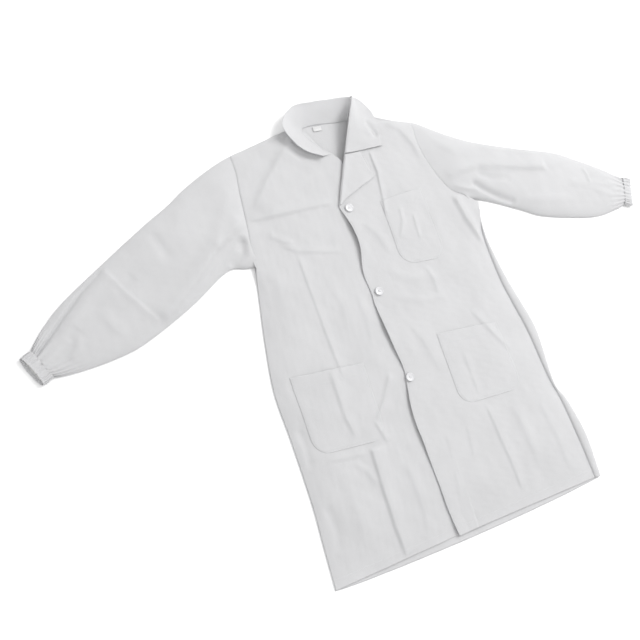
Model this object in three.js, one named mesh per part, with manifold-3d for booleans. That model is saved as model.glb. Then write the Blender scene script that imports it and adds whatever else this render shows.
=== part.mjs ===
// A lab coat lying on its back with its front buttoned and its sleeves spread. Millimetres.
// +X is the wearer's left, +Y runs from the hem to the collar, +Z is up.
import * as THREE from 'three';
import { mergeVertices } from 'three/addons/utils/BufferGeometryUtils.js';
import Module from 'manifold-3d';

const wasm = await Module();
wasm.setup();

// ---- Driving dimensions ----
const coatLength = 1000; // hem to the neck end of the shoulder seam
const hemWidth = 704;
const chestWidth = 604; // armpit to armpit
const shoulderWidth = 476;
const shoulderDrop = 42; // the shoulder tip lies this far below the neck point
const armholeDepth = 265; // shoulder tip down to the armpit
const neckWidth = 180;
const backNeckDrop = 6;
const backHemDrop = 14; // the back hem hangs this far below the front hems
const sleeveLength = 534; // middle of the armhole to the cuff casing
const cuffWidth = 76;
const cuffLength = 24;
const elasticWidth = 16;

const clothThickness = 1;
const facingThickness = 0.8;
const interliningThickness = 0.8;
const layerGap = 0.3; // free space between two layers that touch
const sleeveHeight = 20; // height of a sleeve's flattened tube as it lies
const cuffHeight = 14;
const frontRise = 9.1; // space between the back panel and the underside of the right front
const sideSeamWidth = 20; // the fronts come down to the back panel over their side seams
const sideSeamEnd = 4; // width of a side seam where it runs out on the armhole
const shoulderSeamWidth = 40;

const frontOverlap = 47; // the left front covers the right front by this much
const overEdgeX = -57; // front edge of the left front
const facingWidth = 60;
const collarHeight = 36; // top edge of the stand above the back panel
const lapelWidth = 78;
const rollPointY = 783; // the lapel starts to turn here
const buttonDiameter = 20;
const buttonThickness = 3.2;
const buttonHoleDiameter = 2;
const buttonHoleSpacing = 3.2;
const buttonSpacing = 207;
const topButtonDrop = 8; // the top button's centre lies this far below the roll point
const buttonInset = 20; // button centre from the edge of the left front
const shankDiameter = 2.6;
const shankRise = 1; // the thread holds the button this far off the cloth
const hipPocketWidth = 165;
const hipPocketDepth = 178;
const chestPocketWidth = 118;
const chestPocketDepth = 165;
const pocketPuff = 6.4; // how far a pocket's middle stands off the front
const hipPocketTilt = -4; // degrees
const chestPocketTilt = 5;
const labelWidth = 22;
const labelHeight = 13;
const labelThickness = 0.5;

// ---- How the coat lies ----
const upperShift = -31; // the shoulders lie this far towards the wearer's right
const leftArmpitLift = 20;
const rightSleeveDrop = THREE.MathUtils.degToRad(23.7); // below the line across the shoulders
const leftSleeveDrop = THREE.MathUtils.degToRad(20.3);
const backWrap = 16; // the back panel shows this far round the left side seam

// ---- Heights of the layers ----
const seamHeight = clothThickness + layerGap;
const rightFrontHeight = clothThickness + frontRise;
const rightFacingHeight = rightFrontHeight - layerGap - facingThickness;
const rightFrontTop = rightFrontHeight + clothThickness;
const leftFacingHeight = rightFrontTop + layerGap;
const leftFrontHeight = leftFacingHeight + facingThickness + layerGap;
const leftFrontTop = leftFrontHeight + clothThickness;

// ---- Landmarks of each side, wearer's right and left: [x, y] ----
const shoulderTipY = coatLength - shoulderDrop;
const armpitY = shoulderTipY - armholeDepth;
const rightSide = {
  hem: [-hemWidth / 2, 0],
  thigh: [-hemWidth / 2 + 9, coatLength * 0.18],
  hip: [-hemWidth / 2 + 8, coatLength * 0.4],
  waist: [-chestWidth / 2 - 27, coatLength * 0.53],
  armpit: [-chestWidth / 2 + 5, armpitY],
  shoulder: [-shoulderWidth / 2 + upperShift, shoulderTipY],
  neck: [-neckWidth / 2, coatLength + 4],
};
const leftSide = {
  hem: [hemWidth / 2 + 2, 0],
  thigh: [hemWidth / 2 - 6, coatLength * 0.18],
  hip: [hemWidth / 2 - 20, coatLength * 0.4],
  waist: [chestWidth / 2 + 4, coatLength * 0.53],
  armpit: [chestWidth / 2 + 5, armpitY + leftArmpitLift],
  shoulder: [shoulderWidth / 2 + upperShift, shoulderTipY],
  neck: [neckWidth / 2, coatLength + 2],
};

const coat = new THREE.Group();

// ---- Small helpers ----
function between(a, b, t) {
  return a.map((value, axis) => THREE.MathUtils.lerp(value, b[axis], t));
}

// Keeps positions only, joins shared corners, and turns the faces outwards.
function tidied(geometry) {
  for (const name of Object.keys(geometry.attributes)) {
    if (name !== 'position') geometry.deleteAttribute(name);
  }
  const merged = mergeVertices(geometry, 1e-4);
  const corner = [new THREE.Vector3(), new THREE.Vector3(), new THREE.Vector3()];
  const index = merged.index;
  let volume = 0;
  for (let face = 0; face < index.count; face += 3) {
    corner.forEach((point, k) => point.fromBufferAttribute(merged.attributes.position, index.getX(face + k)));
    volume += corner[0].dot(corner[1].clone().cross(corner[2])) / 6;
  }
  if (volume > 0) return merged;
  for (let face = 0; face < index.count; face += 3) {
    const second = index.getX(face + 1);
    index.setX(face + 1, index.getX(face + 2));
    index.setX(face + 2, second);
  }
  return merged;
}

function solid(geometry) {
  const merged = tidied(geometry);
  return new wasm.Manifold(new wasm.Mesh({
    numProp: 3,
    vertProperties: new Float32Array(merged.attributes.position.array),
    triVerts: new Uint32Array(merged.index.array),
  }));
}

function fromSolid(body) {
  const mesh = body.getMesh();
  const geometry = new THREE.BufferGeometry();
  geometry.setAttribute('position', new THREE.BufferAttribute(mesh.vertProperties, 3));
  geometry.setIndex(new THREE.BufferAttribute(mesh.triVerts, 1));
  return geometry;
}

// A box of columns by rows whose corners are set by place(column, row, layer): a bent sheet of cloth.
// layer is 0 on the under face and 1 on the upper face.
function sheet(columns, rows, place) {
  const geometry = new THREE.BoxGeometry(1, 1, 1, columns, rows, 1);
  const position = geometry.attributes.position;
  for (let i = 0; i < position.count; i += 1) {
    const column = Math.round((position.getX(i) + 0.5) * columns);
    const row = Math.round((position.getY(i) + 0.5) * rows);
    position.setXYZ(i, ...place(column, row, position.getZ(i) + 0.5));
  }
  return tidied(geometry);
}

function slab(outline, height, thickness) {
  const shape = new THREE.Shape(outline.map(([x, y]) => new THREE.Vector2(x, y)));
  const geometry = new THREE.ExtrudeGeometry(shape, { depth: thickness, bevelEnabled: false });
  geometry.translate(0, 0, height);
  return tidied(geometry);
}

function add(name, geometry, look) {
  const shaded = geometry.index ? geometry.toNonIndexed() : geometry;
  shaded.computeVertexNormals();
  const mesh = new THREE.Mesh(shaded, new THREE.MeshStandardMaterial(look));
  mesh.name = name;
  coat.add(mesh);
}

const cottonLook = { color: 0xe9eaec, roughness: 0.9, metalness: 0 };
const liningLook = { color: 0xdfe1e4, roughness: 0.95, metalness: 0 };
const elasticLook = { color: 0xd8dade, roughness: 0.8, metalness: 0 };
const buttonLook = { color: 0xf1f1ee, roughness: 0.35, metalness: 0 };
const threadLook = { color: 0xf0f0ee, roughness: 0.7, metalness: 0 };

// ---- Back panel ----
function backPanel() {
  const outline = [
    [0, -backHemDrop],
    leftSide.hem,
    leftSide.thigh,
    leftSide.hip,
    leftSide.waist,
    leftSide.armpit,
    leftSide.shoulder,
    leftSide.neck,
    [leftSide.neck[0] * 0.6, coatLength - backNeckDrop],
    [rightSide.neck[0] * 0.6, coatLength - backNeckDrop],
    rightSide.neck,
    rightSide.shoulder,
    rightSide.armpit,
    rightSide.waist,
    rightSide.hip,
    rightSide.thigh,
    rightSide.hem,
  ];
  return slab(outline, 0, clothThickness);
}

// ---- Front panels ----
// Rows run from the hem up to the shoulder. Each row goes from the side seam or armhole to the front edge.
const shoulderStart = 1 - shoulderSeamWidth / armholeDepth;
function frontRows(side, wrap, edge) {
  const seam = ([x, y]) => [x - wrap, y];
  return [
    [seam(side.hem), edge.hem],
    [seam(side.thigh), edge.thigh],
    [seam(side.hip), edge.hip],
    [seam(side.waist), edge.waist],
    [side.armpit, edge.armpit],
    [between(side.armpit, side.shoulder, 0.36), edge.breast],
    [between(side.armpit, side.shoulder, 0.68), edge.collarbone],
    [between(side.armpit, side.shoulder, shoulderStart), edge.gorge],
    [side.shoulder, side.neck],
  ];
}

// A front is level. Its felled side seam and shoulder seam are strips that come down to the back panel.
const armpitRow = 4;
const frontColumns = 4;
function seamWidthAt(row) {
  if (row <= armpitRow) return sideSeamWidth;
  return row === armpitRow + 1 ? sideSeamEnd : 0;
}

function inFrom([outer, inner], distance) {
  return between(outer, inner, distance / Math.hypot(inner[0] - outer[0], inner[1] - outer[1]));
}

function frontPanel(rows, height) {
  return sheet(frontColumns, rows.length - 2, (column, row, layer) => {
    const seamWidth = seamWidthAt(row);
    const start = inFrom(rows[row], seamWidth ? seamWidth + layerGap : 0);
    const [x, y] = between(start, rows[row][1], column / frontColumns);
    return [x, y, height + layer * clothThickness];
  });
}

function sideSeam(rows, height) {
  return sheet(1, armpitRow + 1, (column, row, layer) => {
    const [x, y] = inFrom(rows[row], column * seamWidthAt(row));
    const onBack = column === 0 && row <= armpitRow;
    return [x, y, (onBack ? seamHeight : height) + layer * clothThickness];
  });
}

function shoulderSeam(rows, height) {
  return sheet(frontColumns, 1, (column, row, layer) => {
    const line = rows[rows.length - 2 + row];
    const [x, y] = between(line[0], line[1], column / frontColumns);
    const atTip = row === 1;
    return [x, atTip ? y : y + layerGap, (atTip ? seamHeight : height) + layer * clothThickness];
  });
}

const underEdgeX = overEdgeX + frontOverlap;
const rightEdge = {
  hem: [underEdgeX, 0],
  thigh: [underEdgeX, coatLength * 0.18],
  hip: [underEdgeX, coatLength * 0.4],
  waist: [underEdgeX, coatLength * 0.54],
  armpit: [underEdgeX, coatLength * 0.7],
  breast: [underEdgeX, coatLength * 0.8],
  collarbone: [underEdgeX - 10, coatLength * 0.89],
  gorge: [underEdgeX - 38, coatLength * 0.935],
};
// Above the roll point the left front's edge is the roll line of its lapel.
const rollStart = [overEdgeX, rollPointY];
const rollEnd = [neckWidth / 2 - 32, coatLength + 35];
const leftEdge = {
  hem: [overEdgeX, 0],
  thigh: [overEdgeX, coatLength * 0.18],
  hip: [overEdgeX, coatLength * 0.4],
  waist: [overEdgeX, coatLength * 0.54],
  armpit: [overEdgeX, coatLength * 0.7],
  breast: rollStart,
  collarbone: between(rollStart, rollEnd, 0.4),
  gorge: between(rollStart, rollEnd, 0.64),
};
const rightRows = frontRows(rightSide, 0, rightEdge);
const leftRows = frontRows(leftSide, backWrap, leftEdge);

// ---- Buttons, their threads and the buttonholes ----
const buttonX = overEdgeX + buttonInset;
const buttonYs = [0, 1, 2].map((place) => rollPointY - topButtonDrop - place * buttonSpacing);
const buttonBase = leftFrontTop + shankRise;
const buttonholeLength = buttonDiameter + 2;
const buttonholeWidth = shankDiameter + 2 * layerGap;

function withButtonholes(geometry) {
  let body = solid(geometry);
  for (const y of buttonYs) {
    const cut = new THREE.BoxGeometry(buttonholeLength, buttonholeWidth, 20);
    cut.translate(buttonX, y, leftFrontHeight);
    body = body.subtract(solid(cut));
  }
  return fromSolid(body);
}

const halfSpacing = buttonHoleSpacing / 2;
const holeOffsets = [
  [halfSpacing, halfSpacing],
  [-halfSpacing, halfSpacing],
  [-halfSpacing, -halfSpacing],
  [halfSpacing, -halfSpacing],
];

// A round button with a raised rim and a dished middle.
function button() {
  const radius = buttonDiameter / 2;
  const rim = radius * 0.72;
  const profile = [
    [0, 0],
    [radius * 0.86, 0],
    [radius, buttonThickness * 0.4],
    [radius * 0.94, buttonThickness],
    [rim, buttonThickness],
    [rim * 0.8, buttonThickness * 0.66],
    [0, buttonThickness * 0.66],
  ].map(([r, z]) => new THREE.Vector2(r, z));
  const disc = new THREE.LatheGeometry(profile, 28);
  disc.rotateX(Math.PI / 2);
  let body = solid(disc);
  for (const [x, y] of holeOffsets) {
    const hole = new THREE.CylinderGeometry(buttonHoleDiameter / 2, buttonHoleDiameter / 2, 20, 8);
    hole.rotateX(Math.PI / 2);
    hole.translate(x, y, 0);
    body = body.subtract(solid(hole));
  }
  return body;
}

// The shank under the button, a strand through each hole, and two stitches over the top.
function buttonThread() {
  const strand = buttonHoleDiameter / 2 - layerGap;
  const dish = buttonThickness * 0.66 + layerGap;
  const shankLength = buttonBase - rightFrontTop - 2 * layerGap;
  const shank = new THREE.CylinderGeometry(shankDiameter / 2, shankDiameter / 2, shankLength, 12);
  shank.rotateX(Math.PI / 2);
  shank.translate(0, 0, -shankLength / 2 - layerGap);
  let body = solid(shank);
  const knotHeight = shankRise - 2 * layerGap;
  const knot = new THREE.CylinderGeometry(shankDiameter * 1.1, shankDiameter * 1.1, knotHeight, 12);
  knot.rotateX(Math.PI / 2);
  knot.translate(0, 0, -knotHeight / 2 - layerGap);
  body = body.add(solid(knot));
  for (const [x, y] of holeOffsets) {
    const postLength = dish + strand / 2 + shankRise / 2;
    const post = new THREE.CylinderGeometry(strand, strand, postLength, 8);
    post.rotateX(Math.PI / 2);
    post.translate(x, y, dish - postLength / 2 + strand / 2);
    body = body.add(solid(post));
  }
  for (const side of [-1, 1]) {
    const stitch = new THREE.BoxGeometry(buttonHoleSpacing + strand, strand * 1.6, strand);
    stitch.translate(0, (side * buttonHoleSpacing) / 2, dish + strand / 2);
    body = body.add(solid(stitch));
  }
  return body;
}

// ---- Facings ----
function facing(edgeX, inward, height, top) {
  const far = edgeX + inward * facingWidth;
  return slab([[edgeX, 0.5], [far, 0.5], [far, top], [edgeX, top]], height, facingThickness);
}

// ---- Lapel and collar ----
// The roll line climbs from the front to the top of the stand at the back of the neck.
const rollBaseZ = leftFrontTop + 2;
const rollTopZ = collarHeight + 4;
function onRoll(t) {
  return [...between(rollStart, rollEnd, t), THREE.MathUtils.lerp(rollBaseZ, rollTopZ, t)];
}

const lapelZ = leftFrontTop + layerGap + 0.6;
const lapelTop = 0.46; // where the lapel ends along the roll line
const collarClear = 1.4; // between the roll line and what hangs from it
const lapelOuter = [
  [overEdgeX + 14, rollPointY + 6, lapelZ],
  [overEdgeX + lapelWidth * 0.78, rollPointY + 30, lapelZ],
  [overEdgeX + lapelWidth + 35, rollPointY + 56, lapelZ],
  [overEdgeX + lapelWidth + 19, rollPointY + 122, lapelZ + 2],
];
function lapel() {
  const rows = lapelOuter.length - 1;
  return sheet(3, rows, (column, row, layer) => {
    const inner = onRoll((lapelTop * row) / rows);
    inner[0] += collarClear;
    const [x, y, z] = between(inner, lapelOuter[row], column / 3);
    return [x, y, z + layer * clothThickness];
  });
}

const leafFront = [overEdgeX + lapelWidth + 81, rollPointY + 125, lapelZ + 3];
const leafShoulder = [neckWidth / 2 + 26, coatLength - 10, lapelZ + 3];
const leafBack = [neckWidth / 2 + 12, coatLength + 28, lapelZ + 12];
const leafOuter = [leafFront, between(leafFront, leafShoulder, 0.5), leafShoulder, leafBack];
function leaf(lift, thickness) {
  const rows = leafOuter.length - 1;
  const start = lapelTop + 0.002;
  return sheet(3, rows, (column, row, layer) => {
    const inner = onRoll(THREE.MathUtils.lerp(start, 0.97, row / rows));
    inner[0] += collarClear;
    const [x, y, z] = between(inner, leafOuter[row], column / 3);
    return [x, y, z + lift + layer * thickness];
  });
}

// The stand rises from the neckline and leans outwards, from the right front round the back to the left
// roll line. Each station is [x, y, z] at the seam and at the top edge.
const standGap = 0.6;
const backSeamY = coatLength - backNeckDrop - standGap;
const standSeam = [
  [rightEdge.gorge[0] + 14, rightEdge.gorge[1] - 18, rightFrontTop + layerGap],
  [rightEdge.gorge[0] + 1, rightEdge.gorge[1] + 1, rightFrontTop + layerGap],
  [rightSide.neck[0] + 5, rightSide.neck[1] - 8, seamHeight + clothThickness + 2],
  [rightSide.neck[0] * 0.6, backSeamY, seamHeight],
  [0, backSeamY, seamHeight],
  [leftSide.neck[0] * 0.4, backSeamY, seamHeight],
  [leftSide.neck[0] - 6, leftSide.neck[1] - 3.5, seamHeight + clothThickness + 1],
  [leftEdge.gorge[0] - standGap, leftEdge.gorge[1] + standGap, leftFrontTop + layerGap],
];
function underRoll(t) {
  const [x, y, z] = onRoll(t);
  return [x - 0.4, y, z - 1];
}
const standTop = [
  [rightEdge.gorge[0] - 12, rightEdge.gorge[1] - 20, rightFrontTop + 9],
  [rightSide.neck[0] - 24, rightEdge.gorge[1] + 10, collarHeight - 8],
  [rightSide.neck[0] - 36, rightSide.neck[1] - 14, collarHeight - 2],
  [rightSide.neck[0] + 4, coatLength + 37, collarHeight],
  [0, coatLength + 40, collarHeight],
  [leftSide.neck[0] * 0.4, coatLength + 38, collarHeight],
  underRoll(0.9),
  underRoll(0.66),
];
function stand() {
  const columns = standSeam.length - 1;
  const facingIn = standSeam.map((seam, column) => {
    const before = new THREE.Vector3(...standSeam[Math.max(column - 1, 0)]);
    const along = new THREE.Vector3(...standSeam[Math.min(column + 1, columns)]).sub(before);
    const rise = new THREE.Vector3(...standTop[column]).sub(new THREE.Vector3(...seam));
    return along.cross(rise).normalize().multiplyScalar(clothThickness).toArray();
  });
  return sheet(columns, 3, (column, row, layer) => {
    const point = between(standSeam[column], standTop[column], row / 3);
    return point.map((value, axis) => value + layer * facingIn[column][axis]);
  });
}

// ---- Sleeves and cuffs ----
// Stations along a sleeve: share of its length, then its half widths above and below the centre line.
const sleeveStations = [
  { share: 0.2, up: 92, down: 80 },
  { share: 0.4, up: 87, down: 94 },
  { share: 0.6, up: 84, down: 97 },
  { share: 0.75, up: 73, down: 86 },
  { share: 0.87, up: 60, down: 66 },
  { share: 0.95, up: 45, down: 48 },
];
function sleeveFrame(side, drop, sign) {
  const root = between(side.armpit, side.shoulder, 0.5);
  const along = [sign * Math.cos(drop), -Math.sin(drop)];
  const up = [sign * Math.sin(drop), Math.cos(drop)];
  const armhole = [side.shoulder[0] - side.armpit[0], side.shoulder[1] - side.armpit[1]];
  const length = Math.hypot(...armhole);
  const outward = [(sign * armhole[1]) / length, (sign * -armhole[0]) / length];
  return { side, root, along, up, outward };
}

// One ring of a flattened tube: its centre, its two half-width vectors and its height.
function ringAt(frame, distance, up, down, height) {
  const centre = frame.root.map((value, axis) => value + frame.along[axis] * distance);
  return { centre, high: frame.up.map((v) => v * up), low: frame.up.map((v) => -v * down), height };
}

function armholeRing(frame, height) {
  const step = (point) => point.map((value, axis) => value + frame.outward[axis] * standGap);
  const high = step(frame.side.shoulder);
  const low = step(frame.side.armpit);
  const centre = between(high, low, 0.5);
  const from = (point) => point.map((value, axis) => value - centre[axis]);
  return { centre, high: from(high), low: from(low), height };
}

function shrunk(ring, wall) {
  const less = (v) => v.map((value) => value * (1 - wall / Math.hypot(...v)));
  return { ...ring, high: less(ring.high), low: less(ring.low), wall };
}

function moved(ring, frame, distance) {
  return { ...ring, centre: ring.centre.map((value, axis) => value + frame.along[axis] * distance) };
}

const ringSides = 16;
function tube(rings) {
  const geometry = new THREE.CylinderGeometry(1, 1, 1, ringSides, rings.length - 1);
  const position = geometry.attributes.position;
  for (let i = 0; i < position.count; i += 1) {
    const ring = rings[Math.round((0.5 - position.getY(i)) * (rings.length - 1))];
    const across = Math.sign(position.getX(i)) * Math.abs(position.getX(i)) ** 0.8;
    const rise = Math.sign(position.getZ(i)) * Math.abs(position.getZ(i)) ** 0.55;
    const reach = across > 0 ? ring.high : ring.low;
    const wall = ring.wall || 0;
    position.setXYZ(
      i,
      ring.centre[0] + reach[0] * Math.abs(across),
      ring.centre[1] + reach[1] * Math.abs(across),
      ring.height / 2 + rise * (ring.height / 2 - wall),
    );
  }
  return geometry;
}

// A tube open at both ends: the inner tube runs past the outer one.
function openTube(frame, rings, wall) {
  const inner = rings.map((ring) => shrunk(ring, wall));
  inner[0] = moved(inner[0], frame, -4);
  inner[inner.length - 1] = moved(inner[inner.length - 1], frame, 4);
  return fromSolid(solid(tube(rings)).subtract(solid(tube(inner))));
}

const taperStart = 0.8; // a sleeve gets lower over the last part of its length
function sleeveRings(frame) {
  const rings = sleeveStations.map(({ share, up, down }) => {
    const narrowed = Math.max(0, (share - taperStart) / (1 - taperStart));
    const height = THREE.MathUtils.lerp(sleeveHeight, cuffHeight, narrowed);
    return ringAt(frame, share * sleeveLength, up, down, height);
  });
  const cuffHalf = cuffWidth / 2;
  const last = ringAt(frame, sleeveLength, cuffHalf, cuffHalf, cuffHeight);
  return [armholeRing(frame, sleeveHeight), ...rings, last];
}

function addSleeve(name, side, drop, sign) {
  const frame = sleeveFrame(side, drop, sign);
  const half = cuffWidth / 2;
  const cuffStart = sleeveLength + layerGap;
  add(`${name}_sleeve`, openTube(frame, sleeveRings(frame), clothThickness), cottonLook);
  const casing = [0, cuffLength].map((step) => ringAt(frame, cuffStart + step, half, half, cuffHeight));
  add(`${name}_cuff`, openTube(frame, casing, clothThickness), cottonLook);
  const inset = clothThickness + layerGap;
  const bandStart = cuffStart + (cuffLength - elasticWidth) / 2;
  const band = [0, elasticWidth].map((step) => {
    return ringAt(frame, bandStart + step, half - inset, half - inset, cuffHeight - 2 * inset);
  });
  const elastic = openTube(frame, band, facingThickness);
  elastic.translate(0, 0, inset);
  add(`${name}_cuff_elastic`, elastic, elasticLook);
}

// ---- Patch pockets ----
// A patch sewn down at its sides and bottom, with its mouth open towards the collar.
const pocketColumns = 6;
const pocketRows = 5;
function pocket([left, top], width, depth, tilt, height) {
  const turn = THREE.MathUtils.degToRad(tilt);
  return sheet(pocketColumns, pocketRows, (column, row, layer) => {
    const across = column / pocketColumns;
    const up = row / pocketRows;
    const narrowing = row === 0 ? 0.12 : 0;
    const x = width * (narrowing + across * (1 - 2 * narrowing));
    const y = -depth * (1 - up);
    const swell = Math.sin(Math.PI * across) ** 0.5 * Math.min(1, up * 2.5);
    const edge = column === 0 || column === pocketColumns || row === 0;
    const lift = edge ? 0 : pocketPuff * swell;
    return [
      left + x * Math.cos(turn) - y * Math.sin(turn),
      top + x * Math.sin(turn) + y * Math.cos(turn),
      height + lift + layer * clothThickness,
    ];
  });
}

// ---- Assembly ----
add('back_panel', backPanel(), cottonLook);
add('right_front_panel', frontPanel(rightRows, rightFrontHeight), cottonLook);
add('left_front_panel', withButtonholes(frontPanel(leftRows, leftFrontHeight)), cottonLook);
add('right_side_seam', sideSeam(rightRows, rightFrontHeight), cottonLook);
add('left_side_seam', sideSeam(leftRows, leftFrontHeight), cottonLook);
add('right_shoulder_seam', shoulderSeam(rightRows, rightFrontHeight), cottonLook);
add('left_shoulder_seam', shoulderSeam(leftRows, leftFrontHeight), cottonLook);
const facingInset = 0.5; // a facing stops this far short of the folded edge
const leftFacingTop = rollPointY + 14;
const rightFacing = facing(underEdgeX - facingInset, -1, rightFacingHeight, coatLength * 0.8);
add('right_front_facing', rightFacing, liningLook);
const leftFacing = facing(overEdgeX + facingInset, 1, leftFacingHeight, leftFacingTop);
add('left_front_facing', withButtonholes(leftFacing), liningLook);
add('left_lapel', lapel(), cottonLook);
add('collar_stand', stand(), cottonLook);
add('under_collar', leaf(0, facingThickness), cottonLook);
add('collar_interlining', leaf(facingThickness + layerGap, interliningThickness), liningLook);
add('upper_collar', leaf(facingThickness + interliningThickness + 2 * layerGap, facingThickness), cottonLook);
addSleeve('right', rightSide, rightSleeveDrop, -1);
addSleeve('left', leftSide, leftSleeveDrop, 1);

const rightPocketBase = rightFrontTop + layerGap;
const leftPocketBase = leftFrontTop + layerGap;
function addHipPocket(name, corner, base) {
  add(name, pocket(corner, hipPocketWidth, hipPocketDepth, hipPocketTilt, base), cottonLook);
}

// Each corner is the top of the pocket's side nearest to the wearer's right.
const hipPocketTop = 436;
addHipPocket('right_hip_pocket', [-302, hipPocketTop + 2], rightPocketBase);
addHipPocket('left_hip_pocket', [66, hipPocketTop - 2], leftPocketBase);
const chestPocketCorner = [47, rollPointY - 5];
const chestPatch = pocket(chestPocketCorner, chestPocketWidth, chestPocketDepth, chestPocketTilt, leftPocketBase);
add('chest_pocket', chestPatch, cottonLook);

const namesFromTop = ['top', 'middle', 'bottom'];
buttonYs.forEach((y, place) => {
  const seat = (body) => {
    const geometry = fromSolid(body);
    geometry.translate(buttonX, y, buttonBase);
    return geometry;
  };
  add(`${namesFromTop[place]}_button`, seat(button()), buttonLook);
  add(`${namesFromTop[place]}_button_thread`, seat(buttonThread()), threadLook);
});

const labelSpot = [-40, coatLength - 16];
add('neck_label', slab([
  [labelSpot[0] - labelWidth / 2, labelSpot[1] - labelHeight / 2],
  [labelSpot[0] + labelWidth / 2, labelSpot[1] - labelHeight / 2],
  [labelSpot[0] + labelWidth / 2, labelSpot[1] + labelHeight / 2],
  [labelSpot[0] - labelWidth / 2, labelSpot[1] + labelHeight / 2],
], seamHeight, labelThickness), liningLook);

// The origin is the middle of the coat's box, on the surface that the coat lies on.
const box = new THREE.Box3().setFromObject(coat);
const middle = box.getCenter(new THREE.Vector3());
coat.position.set(-middle.x, -middle.y, -box.min.z);

export default coat;
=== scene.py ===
import math

import bpy
import numpy as np
from mathutils import Matrix, Vector


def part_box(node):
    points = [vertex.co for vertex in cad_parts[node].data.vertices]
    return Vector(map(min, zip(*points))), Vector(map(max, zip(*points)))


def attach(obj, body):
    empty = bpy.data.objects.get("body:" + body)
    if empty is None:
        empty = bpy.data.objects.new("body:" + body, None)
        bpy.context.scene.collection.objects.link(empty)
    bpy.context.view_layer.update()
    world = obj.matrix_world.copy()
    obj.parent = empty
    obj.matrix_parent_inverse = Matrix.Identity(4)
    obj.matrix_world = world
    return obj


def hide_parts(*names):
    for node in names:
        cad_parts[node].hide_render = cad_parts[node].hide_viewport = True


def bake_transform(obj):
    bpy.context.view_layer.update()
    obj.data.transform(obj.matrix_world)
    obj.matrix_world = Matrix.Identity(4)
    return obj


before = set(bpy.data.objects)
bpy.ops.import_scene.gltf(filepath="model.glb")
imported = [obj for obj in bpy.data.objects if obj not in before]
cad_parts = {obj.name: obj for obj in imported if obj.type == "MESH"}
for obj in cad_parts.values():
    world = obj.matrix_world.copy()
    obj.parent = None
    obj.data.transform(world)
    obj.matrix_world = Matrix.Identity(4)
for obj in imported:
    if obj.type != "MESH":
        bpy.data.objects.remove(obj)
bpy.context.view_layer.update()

# The coat is drafted in millimetres from the middle of the front hem: x towards the wearer's left,
# y from the hem to the collar, z up from the table.
MM = 0.001
BACK_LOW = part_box("back_panel")[0]
HEM_FROM_BACK = (352 * MM, 14 * MM)  # from the back panel's low corner to the middle of the front hem
HEM_MIDDLE = np.array([BACK_LOW[0] + HEM_FROM_BACK[0], BACK_LOW[1] + HEM_FROM_BACK[1], 0.0])


def on_coat(points):
    """Millimetres on the draft turned to metres in the frame."""
    return np.asarray(points, float) * MM + HEM_MIDDLE


# ---------------------------------------------------------------- the draft of the coat
RIGHT_SIDE = [(-353, -2), (-348, 90), (-343, 180), (-343, 310), (-345, 420), (-330, 525),
              (-313, 612), (-297, 692)]
LEFT_FOLD = [(355, -4), (359, 100), (344, 190), (327, 240), (334, 371), (321, 449), (308, 512),
             (297, 596), (296, 650), (306, 720)]
LEFT_SEAM = [(340, -3), (337, 100), (330, 190), (318, 260), (312, 371), (300, 449), (291, 512),
             (288, 596), (292, 650), (306, 715)]
RIGHT_ARMHOLE = [(-297, 692), (-299, 731), (-286, 791), (-278, 865), (-271, 910), (-269, 958)]
LEFT_ARMHOLE = [(307, 716), (276, 741), (250, 757), (232, 782), (215, 823), (203, 870), (200, 906),
                (207, 955)]
RIGHT_NECK = [(-12, 882), (-31, 914), (-52, 934), (-84, 1003)]
ROLL_FOOT = np.array([-60.0, 783.0])
ROLL_HEAD = np.array([58.0, 1035.0])
OVER_EDGE = [(-50, 0), (-57, 70), (-58, 135), (-60, 216), (-62, 255), (-59, 302), (-51, 342),
             (-44, 384), (-50, 444), (-57, 535), (-56, 570), (-58, 621), (-45, 679), (-47, 726),
             (-60, 783)]
UNDER_EDGE_X = -12.0
BUTTONS = {"top": (-37, 775), "middle": (-37, 568), "bottom": (-37, 361)}
CLOTH = 0.7


def smooth(t):
    t = np.clip(t, 0, 1)
    return t * t * (3 - 2 * t)


def curve_through(points, count):
    """A smooth line through given points, evenly spaced along its length."""
    points = np.asarray(points, float)
    ends = np.vstack([2 * points[0] - points[1], points, 2 * points[-1] - points[-2]])
    line = []
    for i in range(len(points) - 1):
        a, b, c, d = ends[i:i + 4]
        t = np.linspace(0, 1, 24, endpoint=False)[:, None]
        line.append(0.5 * (2 * b + (c - a) * t + (2 * a - 5 * b + 4 * c - d) * t ** 2
                           + (3 * b - a - 3 * c + d) * t ** 3))
    line = np.vstack(line + [points[-1:]])
    run = np.concatenate([[0], np.cumsum(np.linalg.norm(np.diff(line, axis=0), axis=1))])
    wanted = np.linspace(0, run[-1], count)
    return np.stack([np.interp(wanted, run, line[:, k]) for k in range(line.shape[1])], axis=1)


RIGHT_SIDE_LINE = curve_through(RIGHT_SIDE, 200)
LEFT_SEAM_LINE = curve_through(LEFT_SEAM, 200)
OVER_LINE = curve_through(OVER_EDGE, 200)


def across_at(line, y):
    """The x of an upright line at height y on the draft."""
    return np.interp(y, line[:, 1], line[:, 0])


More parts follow.
